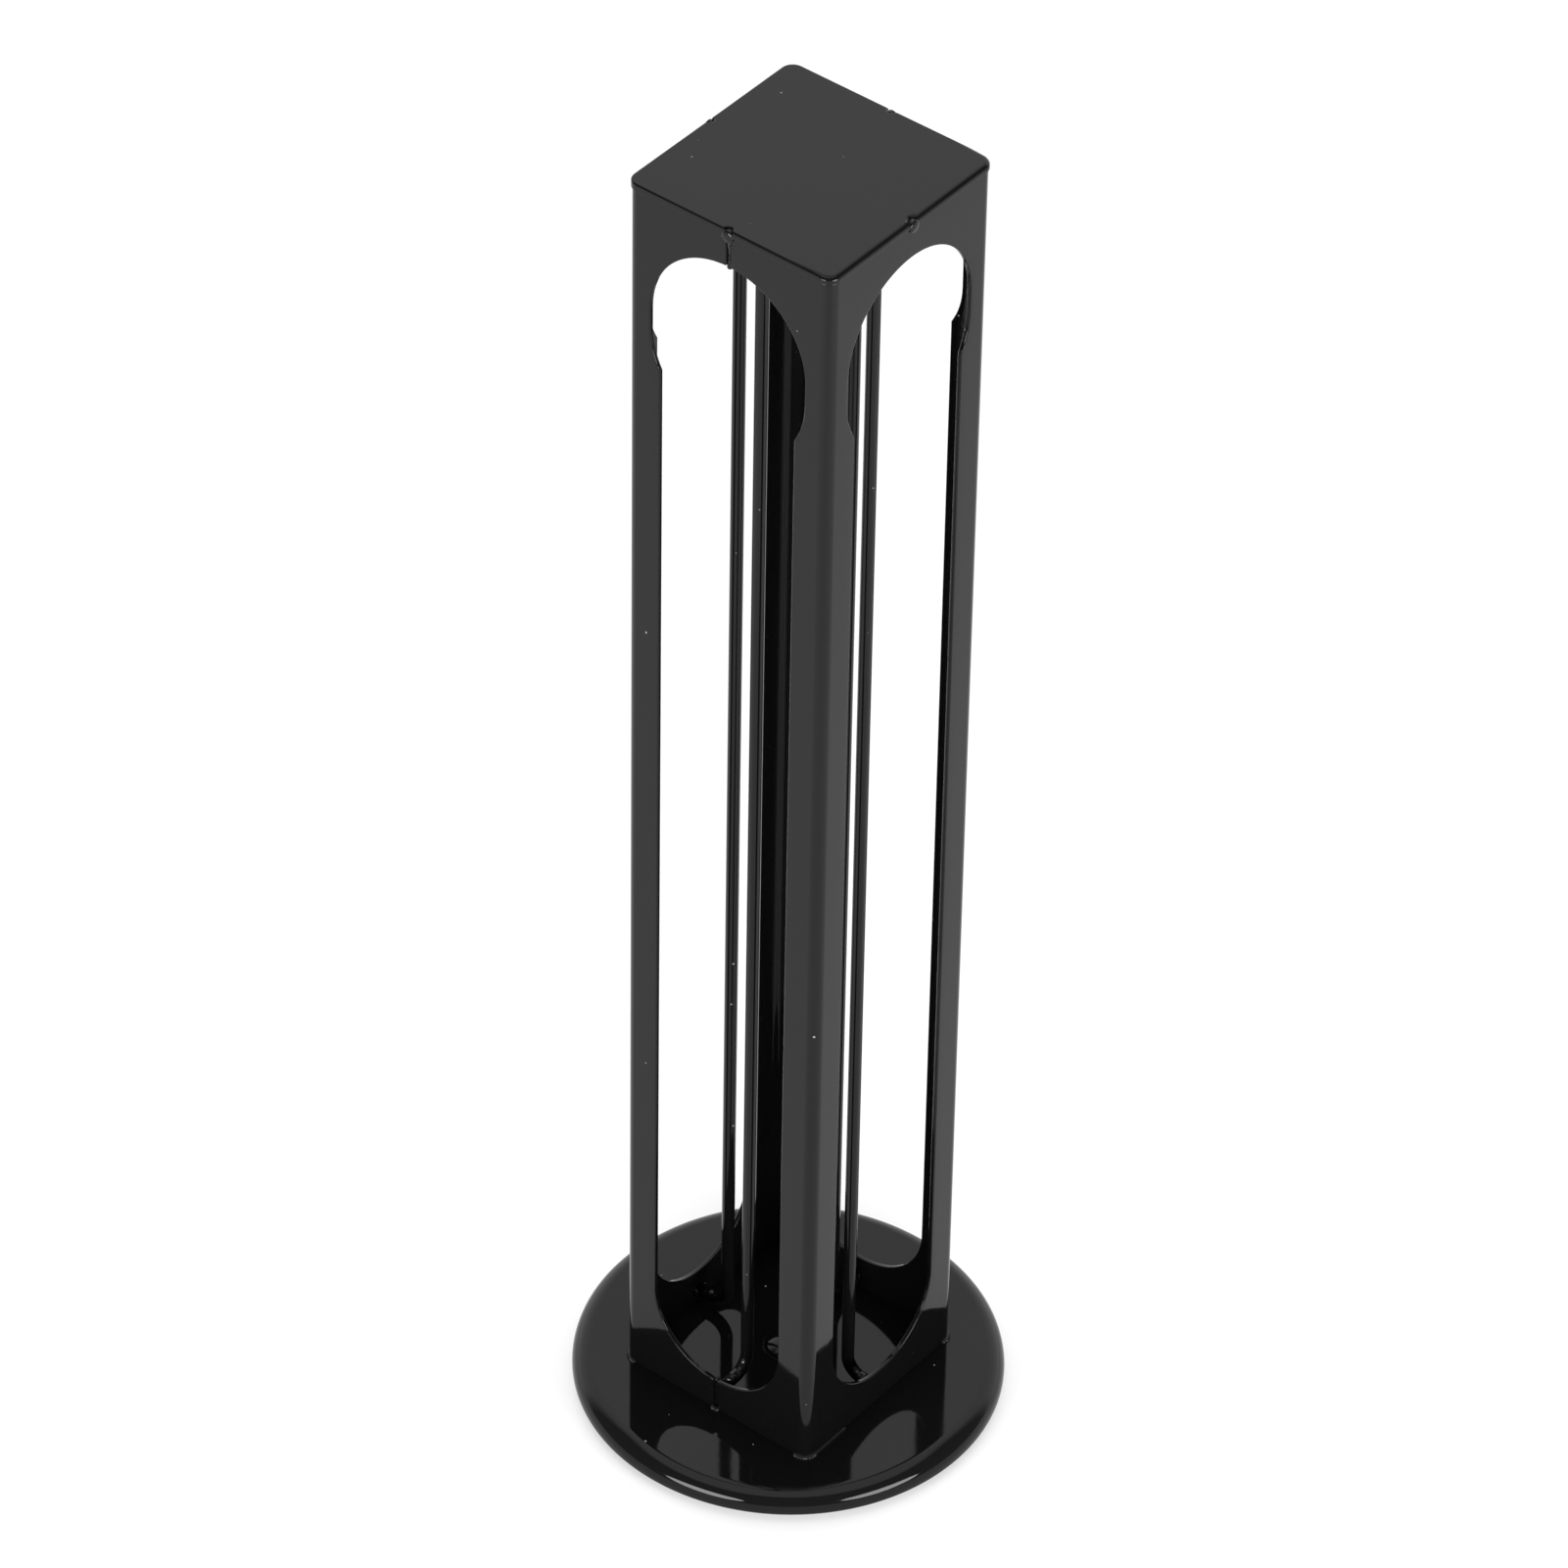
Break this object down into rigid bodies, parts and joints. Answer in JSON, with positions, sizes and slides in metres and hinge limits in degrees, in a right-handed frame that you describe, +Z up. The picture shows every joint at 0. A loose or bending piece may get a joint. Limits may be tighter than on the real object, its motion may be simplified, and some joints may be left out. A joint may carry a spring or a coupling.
{
  "type": "rotating capsule tower",
  "caption": "Square steel column on a round swivel base, with a keyhole slot and a wire behind it in each wall, in which drinks capsules stack one above another.",
  "frame": {"origin": "on the table under the column's axis, at the bottom of the rubber feet", "axes": "+Z up along the swivel's axis, X and Y square to the column's walls; the wall with the seam faces -Y"},
  "size_m": [0.134, 0.134, 0.4615],
  "materials": {
    "gloss_black_enamel": "gloss stoved enamel, near mirror",
    "plated_steel": "bright zinc plate",
    "ball_steel": "polished",
    "cage_nylon": "moulded, natural",
    "foot_rubber": "matte"
  },
  "bodies": {
    "base": {"foot_plate": "plated_steel", "pivot_rivet": "gloss_black_enamel", "tail_washer": "plated_steel", "rubber_foot_1": "foot_rubber", "rubber_foot_2": "foot_rubber", "rubber_foot_3": "foot_rubber", "rubber_foot_4": "foot_rubber"},
    "carousel": {"column_shell": "gloss_black_enamel", "top_plate": "gloss_black_enamel", "top_plate_welds": "gloss_black_enamel", "wire_guide_front": "gloss_black_enamel", "wire_guide_right": "gloss_black_enamel", "wire_guide_back": "gloss_black_enamel", "wire_guide_left": "gloss_black_enamel", "guide_welds": "gloss_black_enamel", "foot_welds": "gloss_black_enamel", "base_disc": "gloss_black_enamel", "head_washer": "gloss_black_enamel", "upper_race": "plated_steel"},
    "cage": {"ball_cage": "cage_nylon", "bearing_balls": "ball_steel"}
  },
  "joints": [
    {"name": "carousel_spin", "type": "hinge", "parent": "base", "child": "carousel", "pos_m": [0, 0, 0.01], "axis": [0, 0, 1], "continuous": true},
    {"name": "cage_spin", "type": "hinge", "parent": "base", "child": "cage", "pos_m": [0, 0, 0.00575], "axis": [0, 0, 1], "continuous": true}
  ],
  "couplings": [
    {"joint": "cage_spin", "follows": "carousel_spin", "ratio": 0.5}
  ]
}
